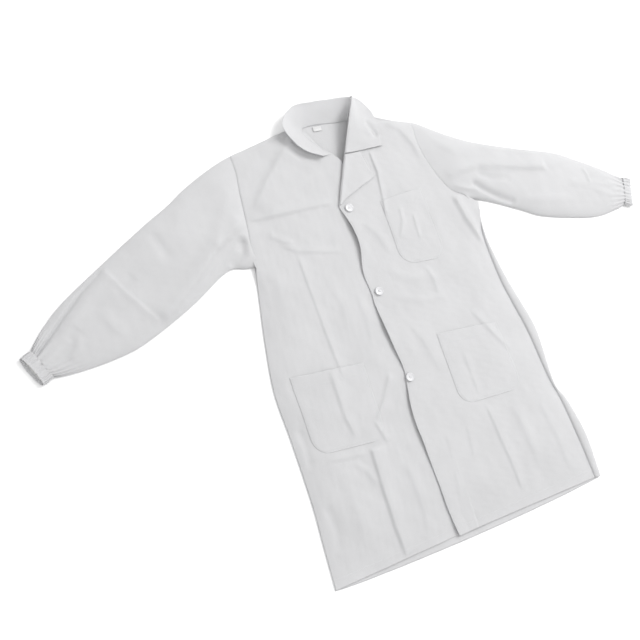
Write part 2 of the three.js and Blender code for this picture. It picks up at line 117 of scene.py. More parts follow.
# ---------------------------------------------------------------- folds in the cloth
def crease(x, y, path, height, left, right, fade=30):
    """A ridge (or a valley, with a negative height) along a path. left and right are its widths on the
    two sides, looking along the path, so a sharp pleat has one narrow side."""
    path = np.asarray(path, float)
    best = np.full(np.shape(x), 1e9)
    side = np.zeros(np.shape(x))
    along = np.zeros(np.shape(x))
    run = 0.0
    for a, b in zip(path[:-1], path[1:]):
        step = b - a
        length = np.hypot(*step)
        px, py = x - a[0], y - a[1]
        t = (px * step[0] + py * step[1]) / length ** 2
        held = np.clip(t, 0, 1)
        away = np.hypot(px - held * step[0], py - held * step[1])
        turn = (step[0] * py - step[1] * px) / length
        near = away < best
        side = np.where(near, np.sign(turn) * away, side)
        along = np.where(near, run + held * length, along)
        best = np.where(near, away, best)
        run += length
    width = np.where(side > 0, left, right)
    ends = smooth(along / fade) * smooth((run - along) / fade)
    return height * np.exp(-(best / width) ** 2) * ends


def undulation(x, y, seed, size, height):
    """The gentle unevenness of cloth that was folded and laid out again."""
    rng = np.random.default_rng(seed)
    z = np.zeros(np.shape(x))
    for _ in range(10):
        angle = rng.uniform(0, math.pi)
        length = size * rng.uniform(0.6, 1.8)
        phase = rng.uniform(0, 2 * math.pi)
        z += np.cos((x * math.cos(angle) + y * math.sin(angle)) * 2 * math.pi / length + phase)
    return z * height / 10 ** 0.5


def crumple(x, y, seed):
    """Large, middling and small unevenness together."""
    large = undulation(x, y, seed, 130, 0.7)
    return large + undulation(x, y, seed + 100, 58, 0.36) + undulation(x, y, seed + 200, 26, 0.13)


def folded(x, y, folds, seed):
    """The folds in a list, over the unevenness of the cloth."""
    height = crumple(x, y, seed)
    for path, rise, left, right, fade in folds:
        height = height + crease(x, y, path, rise, left, right, fade)
    return height


# The coat has been pressed and then laid out, so its folds are low and soft.
# Each fold: its path, height, width to the left and right of the path, and how its ends fade.
RIGHT_FRONT_FOLDS = [
    ([(-96, 985), (-150, 935), (-205, 880), (-262, 812)], 6, 34, 11, 40),
    ([(-121, 1003), (-136, 950), (-108, 925), (-60, 903)], -3, 8, 10, 16),
    ([(-288, 800), (-180, 799), (-66, 797)], 3, 15, 4, 30),
    ([(-282, 786), (-210, 788), (-140, 788)], -1.6, 6, 12, 30),
    ([(-49, 876), (-134, 855), (-245, 805)], 2, 12, 14, 40),
    ([(-229, 731), (-193, 706), (-130, 690), (-83, 680)], 2.2, 12, 4.5, 25),
    ([(-250, 760), (-215, 735), (-190, 722)], 2, 9, 6, 16),
    ([(-196, 700), (-193, 577), (-191, 471), (-187, 398)], 1.8, 11, 2.8, 30),
    ([(-262, 700), (-262, 620), (-268, 540)], 2, 26, 14, 60),
    ([(-213, 434), (-213, 374), (-213, 322), (-204, 268)], 2.8, 13, 5, 26),
    ([(-76, 388), (-114, 331), (-151, 290)], 3, 14, 5, 20),
    ([(-153, 300), (-138, 240)], 2.4, 9, 4, 14),
    ([(-180, 245), (-184, 151), (-185, 74), (-180, 2)], 5, 24, 4.5, 10),
    ([(-290, 250), (-225, 240), (-186, 238)], 1.8, 10, 5, 30),
    ([(-232, 232), (-205, 200), (-190, 160)], 1.6, 8, 8, 18),
    ([(-112, 200), (-108, 110), (-112, 20)], 1.8, 14, 9, 40),
    ([(-260, 230), (-254, 140), (-262, 30)], 2, 26, 14, 50),
    ([(-322, 340), (-318, 290), (-324, 240)], -2.4, 12, 10, 20),
    ([(-318, 170), (-312, 110), (-322, 60)], -2.4, 12, 10, 20),
    ([(-150, 640), (-130, 560), (-140, 480)], 1.5, 18, 10, 50),
    ([(-90, 600), (-84, 520), (-96, 440)], 1.5, 14, 9, 50),
]
LEFT_FRONT_FOLDS = [
    ([(64, 905), (66, 848), (57, 787), (46, 735)], 2.8, 9, 2.4, 16),
    ([(126, 974), (168, 942), (187, 897), (197, 850)], 3, 18, 8, 34),
    ([(243, 752), (254, 684), (274, 634), (298, 590)], 5.5, 17, 7, 20),
    ([(90, 756), (84, 715), (62, 674)], 1.9, 8, 4, 16),
    ([(118, 730), (114, 690), (113, 658)], 1.5, 7, 3, 16),
    ([(150, 780), (168, 700), (165, 620)], 1.2, 14, 12, 40),
    ([(100, 600), (110, 560), (108, 520)], 1.4, 8, 6, 18),
    ([(-20, 740), (10, 700), (30, 640)], 1.8, 12, 8, 30),
    ([(-20, 620), (50, 580), (130, 560), (210, 575)], 1.8, 14, 12, 60),
    ([(-20, 555), (60, 520), (150, 515)], 1.6, 10, 9, 50),
    ([(0, 500), (30, 430), (46, 340)], 2, 16, 9, 60),
    ([(173, 470), (206, 406), (240, 342)], 2.4, 12, 6, 30),
    ([(117, 386), (116, 321), (117, 266)], 1.6, 12, 5, 28),
    ([(60, 224), (55, 184), (48, 133)], 1.4, 12, 5, 24),
    ([(124, 250), (132, 135), (140, 33)], 2.4, 18, 4, 26),
    ([(5, 230), (-4, 157), (-18, 66)], 1.3, 14, 7, 34),
    ([(190, 250), (200, 160), (205, 60)], 2, 16, 10, 60),
    ([(262, 240), (276, 130), (286, 20)], 1.8, 14, 9, 60),
]


def pinned(x, y, z, level, reach):
    """Cloth held at a button's height close round each button."""
    for bx, by in BUTTONS.values():
        hold = np.exp(-(np.hypot(x - bx, y - by) / reach) ** 2)
        z = z * (1 - hold) + level * hold
    return z


def body_swell(x, y, inside, top, width):
    """Height of a front above the back: it comes down to the side seam, the shoulder and the hem."""
    above_armpit = smooth((y - 640) / 70)
    rise = 1 - np.exp(-np.clip(inside, 0, None) / width)
    rise = rise * (1 - above_armpit) + above_armpit
    shoulder = 1003 - 0.19 * np.abs(x + 4)
    rise = rise * (1 - np.exp(-np.clip(shoulder - y, 0, None) / 20))
    near_hem = 0.16 + 0.84 * smooth((y + 10) / 130)
    return 2.4 + (top - 2.4) * rise * near_hem


def right_front_height(x, y):
    inside = x - across_at(RIGHT_SIDE_LINE, y)
    z = body_swell(x, y, inside, 11.0, 26)
    folds = folded(x, y, RIGHT_FRONT_FOLDS, 3)
    calm = smooth(inside / 22) * smooth((-20 - x) / 40) * (0.35 + 0.65 * smooth(y / 40))
    calm = np.where(y > 680, smooth((-20 - x) / 40) * smooth((inside + 14) / 20), calm)
    z = z + folds * calm
    under_gape = -2.5 * gape(y) * np.exp(-((x - across_at(OVER_LINE, y)) / 26) ** 2)
    share, out = roll_share(x, y)
    z = z + 0.55 * (roll_height(share) - 14) * np.exp(-(out / 34) ** 2) * smooth((share - 0.05) / 0.2)
    return pinned(x, y, np.maximum(z + under_gape, 2.2), 10.8, 16)


# How far the over edge stands open, from the top button down to the hem: shut at the buttons.
GAPE = [(0, 1.0), (45, 0.5), (110, 0.16), (180, 0.3), (235, 0.75), (290, 0.9), (330, 0.6), (361, 0.0),
        (395, 0.35), (440, 0.85), (490, 0.8), (535, 0.25), (568, 0.0), (600, 0.3), (632, 0.6),
        (670, 1.1), (732, 1.25), (765, 0.6), (783, 0.0)]


def gape(y):
    return np.interp(y, *zip(*GAPE))


def roll_share(x, y):
    """How far along the roll line a spot lies, and how far to its left-hand (wearer's) side."""
    step = ROLL_HEAD - ROLL_FOOT
    length = np.hypot(*step)
    px, py = x - ROLL_FOOT[0], y - ROLL_FOOT[1]
    return (px * step[0] + py * step[1]) / length ** 2, -(step[0] * py - step[1] * px) / length


def roll_height(t):
    """Height of the roll line: it lies on the front at its foot and stands up at the back of the neck."""
    return 14.0 + 24.5 * np.clip(t, 0, 1.1) ** 2.0


def left_front_height(x, y):
    inside = across_at(LEFT_SEAM_LINE, y) - x
    z = body_swell(x, y, inside, 12.8, 30)
    z = np.maximum(z, 3.2)
    folds = folded(x, y, LEFT_FRONT_FOLDS, 7)
    z = z + folds * np.where(y > 690, 1, smooth(inside / 22)) * (0.35 + 0.65 * smooth(y / 40))
    from_edge = x - across_at(OVER_LINE, y)
    z = z + np.where(y < 800, 3.6 * gape(y) * np.exp(-(np.clip(from_edge, 0, None) / 34) ** 1.4), 0)
    t, out = roll_share(x, y)
    climb = (roll_height(t) - 13.0) * np.exp(-np.clip(out, 0, None) / 34)
    z = z + np.where(y > 760, climb * smooth((y - 760) / 50), 0)
    under = right_front_height(np.minimum(x, UNDER_EDGE_X), y)
    z = np.where(x < UNDER_EDGE_X + 14, np.maximum(z, under + 2.2), z)
    return pinned(x, y, z, 13.4, 13)


# ---------------------------------------------------------------- making cloth from a grid of points
def new_mesh(name, points, faces, material):
    mesh = bpy.data.meshes.new(name)
    mesh.from_pydata(points.tolist(), [], faces)
    mesh.validate()
    mesh.update()
    mesh.polygons.foreach_set("use_smooth", np.ones(len(mesh.polygons), bool))
    piece = bpy.data.objects.new(name, mesh)
    bpy.context.collection.objects.link(piece)
    mesh.materials.append(material)
    return piece


def grid_normals(grid, wrapped):
    if wrapped:
        around = np.roll(grid, -1, axis=1) - np.roll(grid, 1, axis=1)
    else:
        around = np.gradient(grid, axis=1)
    along = np.gradient(grid, axis=0)
    normal = np.cross(around, along)
    return normal / np.maximum(np.linalg.norm(normal, axis=2, keepdims=True), 1e-9)


def cloth_piece(name, grid, material, thickness=CLOTH, wrapped=False, outward=True):
    """Cloth of an even thickness whose outer face is the grid (rows, columns, 3) in draft millimetres."""
    rows, columns = grid.shape[:2]
    normal = grid_normals(grid, wrapped) * (1 if outward else -1)
    points = np.concatenate([grid.reshape(-1, 3), (grid - normal * thickness).reshape(-1, 3)])
    spot = np.arange(rows * columns).reshape(rows, columns)
    right = np.roll(spot, -1, axis=1) if wrapped else spot[:, 1:]
    left = spot if wrapped else spot[:, :-1]
    outer = np.stack([left[:-1], right[:-1], right[1:], left[1:]], axis=-1).reshape(-1, 4)
    if not outward:
        outer = outer[:, ::-1]
    inner = outer[:, ::-1] + rows * columns
    faces = [outer, inner]
    rims = [(left[0], right[0], True), (left[-1], right[-1], False)]
    if not wrapped:
        rims += [(spot[:-1, 0], spot[1:, 0], False), (spot[:-1, -1], spot[1:, -1], True)]
    for a, b, turned in rims:
        rim = np.stack([a, a + rows * columns, b + rows * columns, b], axis=-1).reshape(-1, 4)
        faces.append(rim if turned == outward else rim[:, ::-1])
    return new_mesh(name, on_coat(points), np.concatenate(faces).tolist(), material)


def tube_faces(rings, sides):
    """The faces of a tube made of rings of points, closed at its two ends."""
    faces = []
    for low in range(0, (rings - 1) * sides, sides):
        for k in range(sides):
            n = (k + 1) % sides
            faces.append([low + k, low + n, low + sides + n, low + sides + k])
    first, last = list(range(sides)), list(range((rings - 1) * sides, rings * sides))
    return faces + [first[::-1], last]


def moved_on(faces, start):
    """The same faces, on points that come later in the list."""
    return [[v + start for v in face] for face in faces]


STITCH = 2.7
STITCH_STEP = 3.4
STITCH_RADIUS = 0.34
STITCH_SIDES = 5


def stitch_row(path, lift):
    """A row of machine stitches: short threads lying along a path of points, sunk at their ends."""
    path = np.asarray(path, float)
    run = np.concatenate([[0], np.cumsum(np.linalg.norm(np.diff(path, axis=0), axis=1))])
    middles = np.arange(STITCH_STEP / 2, run[-1] - STITCH_STEP / 2, STITCH_STEP)
    if len(middles) < 2:
        return [], []
    spots = [np.stack([np.interp(middles + shift, run, path[:, k]) for k in range(3)], axis=1)
             for shift in (-STITCH / 2, 0, STITCH / 2)]
    along = spots[2] - spots[0]
    along /= np.maximum(np.linalg.norm(along, axis=1, keepdims=True), 1e-9)
    flank = np.cross(along, np.array([0, 0, 1.0]))
    flank /= np.maximum(np.linalg.norm(flank, axis=1, keepdims=True), 1e-9)
    top = np.cross(flank, along)
    rings = []
    for centre, size, height in ((spots[0], 0.45, -0.12), (spots[1], 1.0, 0.16), (spots[2], 0.45, -0.12)):
        for k in range(STITCH_SIDES):
            angle = 2 * math.pi * k / STITCH_SIDES
            rings.append(centre + flank * (math.cos(angle) * STITCH_RADIUS * size)
                         + top * (math.sin(angle) * STITCH_RADIUS * size + height + lift))
    points = np.stack(rings, axis=1)
    one = tube_faces(3, STITCH_SIDES)
    faces = []
    for start in range(len(middles)):
        faces += moved_on(one, start * len(rings))
    return points.reshape(-1, 3), faces


def stitching(name, rows, lift=0.12):
    """All the stitch rows of one seam or piece, as one piece of thread work."""
    points, faces, count = [], [], 0
    for path in rows:
        made, joined = stitch_row(path, lift)
        if len(made):
            points.append(made)
            faces += moved_on(joined, count)
            count += len(made)
    return new_mesh(name, on_coat(np.vstack(points)), faces, THREAD)


# ---------------------------------------------------------------- materials
def colour(text):
    """An sRGB hex colour turned to linear."""
    parts = [int(text[i:i + 2], 16) / 255 for i in (0, 2, 4)]
    return tuple(c / 12.92 if c <= 0.04045 else ((c + 0.055) / 1.055) ** 2.4 for c in parts) + (1.0,)


def add(tree, kind, settings=None, links=None):
    """One node, with its settings and its links from other nodes."""
    node = tree.nodes.new(kind)
    for key, value in (settings or {}).items():
        if isinstance(key, int) or key in node.inputs:
            node.inputs[key].default_value = value
        else:
            setattr(node, key, value)
    for key, source in (links or {}).items():
        tree.links.new(source, node.inputs[key])
    return node


def blank_material(name):
    material = bpy.data.materials.new(name)
    material.use_nodes = True
    tree = material.node_tree
    tree.nodes.clear()
    return material, tree


def place_on(tree):
    return add(tree, "ShaderNodeTexCoord").outputs["Object"]


def two_tone(tree, source, first, second):
    """A colour that runs between two hues."""
    ramp = add(tree, "ShaderNodeValToRGB", None, {"Fac": source.outputs["Fac"]})
    ramp.color_ramp.elements[0].color = colour(first)
    ramp.color_ramp.elements[1].color = colour(second)
    return ramp.outputs["Color"]


def show(tree, shader):
    add(tree, "ShaderNodeOutputMaterial", None, {"Surface": shader.outputs[0]})


def woven_poly_cotton(name, light, dark, crosswise=1.0, roughness=0.86):
    """Plain-woven poly-cotton, optic white: dull, with a faint bloom of loose fibres at grazing angles.
    The real threads are 0.4 mm apart; the weave is drawn at 1.1 mm so that it can show."""
    material, tree = blank_material(name)
    place = place_on(tree)
    thread = 1.1 * MM
    turns = 1 / thread * math.pi * 2 / 20
    warp, weft = [add(tree, "ShaderNodeTexWave",
                      {"bands_direction": way, "Scale": scale, "Distortion": 0.6, "Detail": 1.0,
                       "Detail Scale": 0.4}, {"Vector": place})
                  for way, scale in (("X", turns), ("Y", turns * crosswise))]
    weave = add(tree, "ShaderNodeMath", {"operation": "MULTIPLY"},
                {0: warp.outputs["Fac"], 1: weft.outputs["Fac"]})
    slub = add(tree, "ShaderNodeTexNoise", {"Scale": 1 / (14 * MM), "Detail": 5.0, "Roughness": 0.62},
               {"Vector": place})
    cloud = add(tree, "ShaderNodeTexNoise", {"Scale": 1 / (90 * MM), "Detail": 3.0, "Roughness": 0.55},
                {"Vector": place})
    mix = add(tree, "ShaderNodeMix", {"data_type": "RGBA"}, {"Factor": cloud.outputs["Fac"]})
    for socket in mix.inputs:
        if socket.type == "RGBA":
            socket.default_value = colour({"A": dark, "B": light}[socket.name])
    tint = next(s for s in mix.outputs if s.type == "RGBA")
    uneven = add(tree, "ShaderNodeBump", {"Strength": 0.32, "Distance": 1.1 * MM},
                 {"Height": slub.outputs["Fac"]})
    threads = add(tree, "ShaderNodeBump", {"Strength": 0.22, "Distance": 0.35 * MM},
                  {"Height": weave.outputs[0], "Normal": uneven.outputs["Normal"]})
    shader = add(tree, "ShaderNodeBsdfPrincipled",
                 {"Roughness": roughness, "IOR": 1.5, "Specular IOR Level": 0.22, "Sheen Weight": 0.16,
                  "Sheen Roughness": 0.5}, {"Base Color": tint, "Normal": threads.outputs["Normal"]})
    # thin white cloth lets some light through, so its own shade is never deep
    through = add(tree, "ShaderNodeBsdfTranslucent", None,
                  {"Color": tint, "Normal": threads.outputs["Normal"]})
    both = add(tree, "ShaderNodeMixShader", {0: 0.34}, {1: shader.outputs[0], 2: through.outputs[0]})
    show(tree, both)
    return material


def spun_thread(name, hues):
    """Spun polyester sewing thread: a little brighter than the cloth, with a fine twist along it."""
    material, tree = blank_material(name)
    place = place_on(tree)
    twist = add(tree, "ShaderNodeTexNoise", {"Scale": 1 / (0.8 * MM), "Detail": 2.0}, {"Vector": place})
    tone = two_tone(tree, twist, *hues)
    bump = add(tree, "ShaderNodeBump", {"Strength": 0.3, "Distance": 0.1 * MM},
               {"Height": twist.outputs["Fac"]})
    shader = add(tree, "ShaderNodeBsdfPrincipled",
                 {"Roughness": 0.6, "IOR": 1.5, "Sheen Weight": 0.1},
                 {"Base Color": tone, "Normal": bump.outputs["Normal"]})
    show(tree, shader)
    return material


def cast_polyester_button(name):
    """Cast and turned polyester resin: half gloss and slightly milky."""
    material, tree = blank_material(name)
    place = place_on(tree)
    milk = add(tree, "ShaderNodeTexNoise", {"Scale": 1 / (5 * MM), "Detail": 3.0}, {"Vector": place})
    tone = two_tone(tree, milk, "cbcbcd", "dcdcde")
    scratch = add(tree, "ShaderNodeTexNoise", {"Scale": 1 / (0.6 * MM), "Detail": 3.0}, {"Vector": place})
    rough = add(tree, "ShaderNodeMapRange", {"To Min": 0.24, "To Max": 0.42},
                {"Value": scratch.outputs["Fac"]})
    bump = add(tree, "ShaderNodeBump", {"Strength": 0.08, "Distance": 0.1 * MM},
               {"Height": scratch.outputs["Fac"]})
    shader = add(tree, "ShaderNodeBsdfPrincipled", {"IOR": 1.54, "Coat Weight": 0.15},
                 {"Base Color": tone, "Roughness": rough.outputs["Result"],
                  "Normal": bump.outputs["Normal"]})
    show(tree, shader)
    return material


def braided_elastic(name):
    """Braided elastic: matt, with ribs across its width."""
    material, tree = blank_material(name)
    place = place_on(tree)
    ribs = add(tree, "ShaderNodeTexWave", {"bands_direction": "X", "Scale": 1 / (2 * MM) * 0.3},
               {"Vector": place})
    tone = two_tone(tree, ribs, "c9cac9", "dededb")
    bump = add(tree, "ShaderNodeBump", {"Strength": 0.5, "Distance": 0.4 * MM},
               {"Height": ribs.outputs["Fac"]})
    shader = add(tree, "ShaderNodeBsdfPrincipled", {"Roughness": 0.8},
                 {"Base Color": tone, "Normal": bump.outputs["Normal"]})
    show(tree, shader)
    return material


COTTON = woven_poly_cotton("woven_poly_cotton", "e7e7e8", "dededf")
WRONG_SIDE = woven_poly_cotton("poly_cotton_wrong_side", "e3e3e3", "dbdbdb", roughness=0.9)
TAPE = woven_poly_cotton("woven_label_tape", "f2f2f2", "ececec", crosswise=1.6, roughness=0.7)
THREAD = spun_thread("spun_polyester_thread", ("d6d7da", "eeeef0"))
RESIN = cast_polyester_button("cast_polyester_button")
ELASTIC = braided_elastic("braided_elastic")


# ---------------------------------------------------------------- the shell
def rows_between(lower, upper, rows):
    return np.vstack([curve_through(lower, rows[0])[:-1], curve_through(upper, rows[1])])


def panel(outer, inner, columns, height):
    """A front as rows from its seams to its front edge. The armhole seam is drawn in by its stitches."""
    t = np.linspace(0, 1, columns)[None, :, None]
    flat = outer[:, None, :] * (1 - t) + inner[:, None, :] * t
    z = height(flat[..., 0], flat[..., 1])
    from_seam = np.hypot(flat[..., 0] - flat[:, :1, 0], flat[..., 1] - flat[:, :1, 1])
    z = z - ARMHOLE_SINK * np.exp(-(from_seam / 2.4) ** 2) * smooth((flat[..., 1] - 680) / 20)
    return np.dstack([flat, z])


BELOW, ABOVE = 270, 110
ARMHOLE_SINK = 1.3


def right_front():
    outer = rows_between(RIGHT_SIDE, RIGHT_ARMHOLE, (BELOW, ABOVE))
    inner = rows_between([(UNDER_EDGE_X, 2), (UNDER_EDGE_X, 350), (UNDER_EDGE_X, 700)],
                         [(UNDER_EDGE_X, 700), (UNDER_EDGE_X, 800)] + RIGHT_NECK, (BELOW, ABOVE))
    return panel(outer, inner, 150, right_front_height)


def left_front():
    outer = rows_between(LEFT_SEAM, LEFT_ARMHOLE, (BELOW, ABOVE))
    inner = rows_between(OVER_EDGE, [tuple(ROLL_FOOT + (ROLL_HEAD - ROLL_FOOT) * s)
                                     for s in (0, 0.3, 0.6, 0.87)], (BELOW, ABOVE))
    return panel(outer, inner, 170, left_front_height)


def back_height(x, y):
    lift = undulation(x, y, 12, 90, 0.35) + 0.5
    return 1.0 + np.clip(lift, 0, 1.0) * smooth((30 - y) / 40)


BACK_TOP = [(-297, 945), (-269, 956), (-90, 1003), (-54, 996), (54, 996), (90, 1001), (207, 953),
            (330, 945)]


def back():
    """The back panel lies flat and turns up round the left side to meet the front at the side seam."""
    right = rows_between(RIGHT_SIDE, [(-297, 692), (-269, 958)], (BELOW, ABOVE))
    fold = rows_between(LEFT_FOLD, [(306, 716), (207, 955)], (BELOW, ABOVE))
    seam = rows_between(LEFT_SEAM, [(306, 716), (207, 955)], (BELOW, ABOVE))
    t = np.linspace(0, 1, 150)[None, :, None]
    flat = right[:, None, :] * (1 - t) + fold[:, None, :] * t
    sag = 14 * np.sin(np.pi * t[..., 0]) ** 0.6 * smooth((40 - flat[..., 1]) / 60)
    flat[..., 1] -= sag
    top = np.interp(flat[..., 0], *zip(*BACK_TOP))
    armpit = flat[BELOW, :, 1][None, :]
    rise = np.linspace(0, 1, ABOVE)[:, None]
    flat[-ABOVE:, :, 1] = armpit + (top[-ABOVE:] - armpit) * rise
    lying = np.dstack([flat, back_height(flat[..., 0], flat[..., 1])])
    turn = []
    for share, level in ((0.0, 2.6), (0.1, 4.8), (0.4, 6.6), (0.75, 5.6), (1.12, 2.2)):
        line = fold * (1 - share) + seam * share + np.array([1.2 * (share == 0), 0])
        height = np.full(len(seam), level)
        if share > 1:
            height = left_front_height(seam[:, 0] - 3, seam[:, 1]) - 1.0
        height = np.where(seam[:, 1] > 700, 1.2 + 0.02 * level, height)
        turn.append(np.column_stack([line, height])[:, None, :])
    return np.concatenate([lying] + turn, axis=1)


def ride(piece, body, *nodes, slot="poly_cotton"):
    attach(piece, body)
    if nodes:
        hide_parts(*nodes)
    return piece


def make_shell():
    back_cloth = cloth_piece("back_cloth", back(), COTTON)
    ride(back_cloth, "shell", "back_panel")

    right_cloth = cloth_piece("right_front_cloth", right_front(), COTTON)
    ride(right_cloth, "shell", "right_front_panel", "right_side_seam", "right_shoulder_seam")

    left_cloth = cloth_piece("left_front_cloth", left_front(), COTTON, outward=False)
    ride(left_cloth, "shell", "left_front_panel", "left_side_seam", "left_shoulder_seam")


def make_facings():
    """The turned-in strips behind the two front edges."""
    y = np.linspace(1, 780, 200)
    edge = across_at(OVER_LINE, y)
    under_edge = np.full(len(y), UNDER_EDGE_X)
    for name, start, end, height in (
            ("right_front_facing", under_edge - 60, under_edge - 1, right_front_height),
            ("left_front_facing", edge + 1, edge + 60, left_front_height)):
        t = np.linspace(0, 1, 24)[None, :]
        x = start[:, None] * (1 - t) + end[:, None] * t
        yy = np.repeat(y[:, None], 24, axis=1)
        z = height(x, yy) - CLOTH - 0.25
        strip = cloth_piece(f"{name}_cloth", np.dstack([x, yy, z]), WRONG_SIDE, thickness=0.5)
        ride(strip, "shell", name)


# ---------------------------------------------------------------- pockets
def stitched_groove(from_edge):
    """The stitches draw the cloth in along a line 3 mm inside an edge."""
    return 0.55 * np.exp(-((from_edge - 3) / 1.3) ** 2)


def pocket_grid(corners, rows, columns, round_at_foot, height, base):
    """A patch pocket from its corners (top left, top right, bottom right, bottom left)."""
    top_left, top_right, foot_right, foot_left = [np.array(c, float) for c in corners]
    across = np.linspace(0, 1, columns)[None, :, None]
    down = np.linspace(0, 1, rows)[:, None, None]
    flat = ((top_left * (1 - across) + top_right * across) * (1 - down)
            + (foot_left * (1 - across) + foot_right * across) * down)
    depth = np.linalg.norm(foot_left - top_left)
    width = np.linalg.norm(top_right - top_left)
    to_foot = (1 - down[..., 0]) * depth
    corner = np.clip(1 - to_foot / round_at_foot, 0, 1)
    pull = round_at_foot * (1 - np.sqrt(np.clip(1 - corner ** 2, 0, 1)))
    middle = flat.mean(axis=1, keepdims=True)
    flat = middle + (flat - middle) * (1 - 2 * pull / width)[..., None]
    u = across[..., 0]
    swell = np.sin(np.pi * u) ** 0.7 * smooth(to_foot / 60)
    from_edge = np.minimum(np.minimum(u, 1 - u) * width, to_foot)
    z = base(flat[..., 0], flat[..., 1]) + 0.55 + height * swell - stitched_groove(from_edge)
    return np.dstack([flat, z])


POCKETS = {
    "right_hip_pocket": ([(-305, 440), (-132, 424), (-136, 250), (-303, 266)], 2.0, right_front_height),
    "left_hip_pocket": ([(66, 436), (228, 422), (236, 254), (64, 262)], 1.8, left_front_height),
    "chest_pocket": ([(46, 775), (163, 786), (166, 604), (46, 612)], 1.5, left_front_height),
}


def make_pockets():
    for name, (corners, puff, base) in POCKETS.items():
        grid = pocket_grid(corners, 90, 80, 36, puff, base)
        patch = cloth_piece(f"{name}_cloth", grid, COTTON, thickness=0.5, outward=False)
        ride(patch, "shell", name)
        side_left, side_right, foot, mouth = grid[:, 2], grid[:, -3], grid[-3, 2:-2], grid[13]
        rim = np.concatenate([side_left[2:-3], foot, side_right[2:-3][::-1]])
        seam = stitching(f"{name}_stitching", [rim, mouth, grid[1][1:-1]])
        ride(seam, "shell", slot="thread")


# ---------------------------------------------------------------- lapel and collar
LAPEL_TOP = 0.47
LAPEL_EDGE = [(-50, 790), (-39, 797), (2, 815), (54, 838), (50, 860), (42, 904)]


def lapel_height(x, y, out):
    """The lapel rolls over the roll line, bulging a little, and comes down on the left front."""
    out = np.clip(out, 0, None)
    z = left_front_height(x, y) + 1.9 + 3.4 * np.exp(-out / 9)
    return z - 5.3 * np.exp(-(out / 1.6) ** 2)


def lapel_grid(rows, columns):
    t = np.linspace(0.005, LAPEL_TOP, rows)
    roll = ROLL_FOOT + (ROLL_HEAD - ROLL_FOOT) * t[:, None]
    outer = curve_through(LAPEL_EDGE, rows)
    u = np.linspace(0, 1, columns)[None, :, None]
    flat = roll[:, None, :] * (1 - u) + outer[:, None, :] * u
    x, y = flat[..., 0], flat[..., 1]
    width = np.linalg.norm(outer - roll, axis=1)[:, None]
    z = lapel_height(x, y, roll_share(x, y)[1]) - stitched_groove((1 - u[..., 0]) * width)
    return np.dstack([flat, z])


def make_lapel():
    grid = lapel_grid(130, 60)
    lapel = cloth_piece("left_lapel_cloth", grid, COTTON, thickness=1.3, outward=False)
    ride(lapel, "left_collar", "left_lapel")
    seam = stitching("left_lapel_stitching", [grid[4:-4, -5], grid[-5, 6:-5]])
    ride(seam, "left_collar", slot="thread")


LEAF_EDGE = [(103, 908), (109, 936), (114, 968), (110, 996), (98, 1020), (84, 1038), (66, 1048)]


def leaf_grid(lift):
    rows, columns = 110, 64
    t = np.linspace(LAPEL_TOP + 0.012, 1.0, rows)
    roll = ROLL_FOOT + (ROLL_HEAD - ROLL_FOOT) * t[:, None]
    outer = curve_through(LEAF_EDGE, rows)
    u = np.linspace(0, 1, columns)[None, :]
    flat = roll[:, None, :] * (1 - u[..., None]) + outer[:, None, :] * u[..., None]
    x, y = flat[..., 0], flat[..., 1]
    ground = left_front_height(x, np.minimum(y, 985))
    ground = np.where(y > 960, ground * (1 - smooth((y - 960) / 60)) + 9 * smooth((y - 960) / 60), ground)
    high = roll_height(t)[:, None] + 2.0
    fall = high * (1 - smooth(u ** 0.85)) + (ground + 3.0) * smooth(u ** 0.85)
    z = np.maximum(fall, ground + 2.6)
    z = z + undulation(x, y, 21, 40, 0.7) * np.sin(np.pi * u) + lift
    z = z + crease(x, y, [(80, 985), (92, 945), (98, 925)], -5, 9, 7, 16)
    z = z - 2.5 * np.exp(-(u / 0.03) ** 2)
    # the gorge seam joins leaf and lapel near the roll; beyond it the leaf's corner is free
    share, out = roll_share(x, y)
    joined = lapel_height(x, y, out) + 0.5 + 2.0 * smooth((u - 0.36) / 0.3)
    from_gorge = (t - t[0])[:, None] * np.hypot(*(ROLL_HEAD - ROLL_FOOT))
    z = z + (joined - z) * np.exp(-(from_gorge / 15) ** 1.6)
    width = np.linalg.norm(outer - roll, axis=1)[:, None]
    z = z - stitched_groove((1 - u) * width) - stitched_groove(from_gorge) * smooth((u - 0.36) / 0.3)
    return np.dstack([flat, z])


def make_collar_leaf():
    top = leaf_grid(0.0)
    upper = cloth_piece("upper_collar_cloth", top, COTTON, outward=False)
    ride(upper, "left_collar", "upper_collar", "collar_interlining")
    lower = top.copy()
    lower[..., 2] -= 1.3
    under = cloth_piece("under_collar_cloth", lower, WRONG_SIDE, thickness=0.6, outward=False)
    ride(under, "left_collar", "under_collar")
    seam = stitching("upper_collar_stitching", [top[4:-3, -5], top[4, 6:-5]])
    ride(seam, "left_collar", slot="thread")


STAND_SEAM = [(-31, 913, 12), (-52, 934, 12), (-73, 966, 8), (-80, 988, 4), (-62, 995, 2.3),
              (-25, 995, 2.0), (10, 992, 2.0), (40, 992, 2.4), (62, 986, 8), (44, 962, 13), (20, 938, 14)]
STAND_TOP = [(-58, 911, 20), (-94, 927, 25), (-119, 955, 28), (-132, 1002, 29), (-94, 1039, 28),
             (-40, 1043, 28), (0, 1042, 28), (36, 1040, 30), (53, 1030, 36), (34, 985, 33), (10, 934, 25)]


